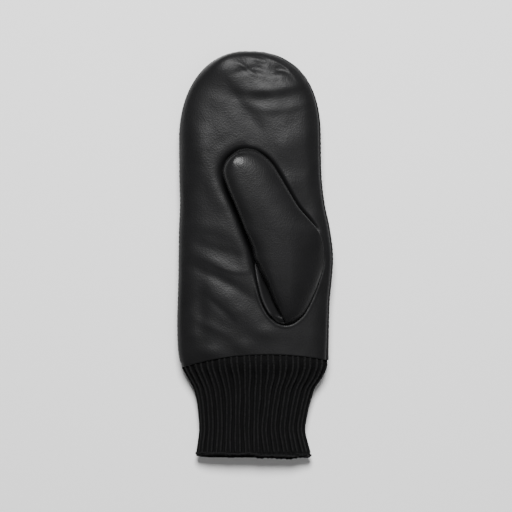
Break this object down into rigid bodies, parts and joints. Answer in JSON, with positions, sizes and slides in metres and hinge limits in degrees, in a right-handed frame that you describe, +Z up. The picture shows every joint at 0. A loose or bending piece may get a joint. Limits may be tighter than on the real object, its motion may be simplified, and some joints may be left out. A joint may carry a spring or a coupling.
{
  "type": "leather mitten",
  "caption": "Right-hand smooth leather mitten with a separate thumb and a ribbed knit wrist cuff, lying palm up with the thumb folded over the palm.",
  "frame": {"origin": "on the table, under the middle of the mitten's bounding box", "axes": "+Y points to the fingertips, +Z up out of the palm, +X to the thumb's side of the hand"},
  "size_m": [0.1024, 0.269, 0.0424],
  "materials": {
    "leather": "smooth black glove leather with a soft satin sheen, fine grain and pressed folds",
    "rib_knit": "matt black two-by-two rib knit with a slight fuzz"
  },
  "bodies": {
    "root": {"palm": "leather", "back": "leather", "thumb": "leather", "rib_cuff": "rib_knit"}
  },
  "joints": []
}
